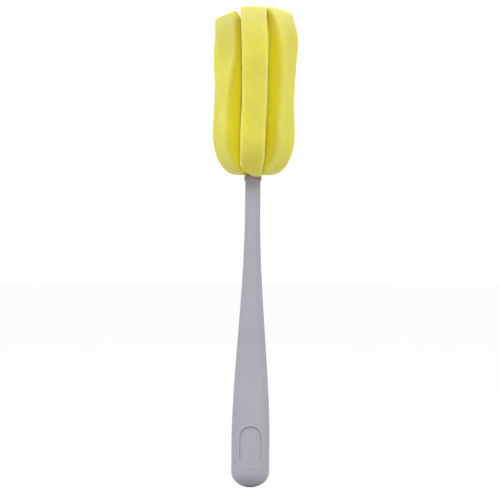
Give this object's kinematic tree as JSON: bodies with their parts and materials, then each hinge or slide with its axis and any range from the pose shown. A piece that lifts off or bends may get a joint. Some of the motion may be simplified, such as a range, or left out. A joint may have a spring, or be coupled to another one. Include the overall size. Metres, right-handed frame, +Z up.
{
  "type": "foam bottle brush",
  "caption": "Long-handled washing brush: slim oval plastic handle with a push-in head of folded foam petals round a hollow centre.",
  "frame": {"origin": "lowest point of the handle's rounded end, on the handle's axis", "axes": "+Z up the handle towards the foam head, -Y out of the front of the grip, where the pocket is, +X to the right as the front is seen"},
  "size_m": [0.052, 0.0513, 0.3],
  "materials": {
    "handle_plastic": "satin moulded polypropylene",
    "plug_plastic": "satin moulded polypropylene",
    "foam": "fine open-cell polyurethane foam, matte",
    "screw_steel": "plain stainless steel"
  },
  "bodies": {
    "handle": {"handle": "handle_plastic"},
    "head": {"head_plug": "plug_plastic", "foam_strip_front": "foam", "foam_strip_left": "foam", "foam_strip_right": "foam", "clamp_washer": "plug_plastic", "clamp_screw": "screw_steel"}
  },
  "joints": [
    {"name": "head_pull", "type": "slide", "parent": "handle", "child": "head", "axis": [0, 0, 1], "range_m": [0, 0.032]}
  ]
}
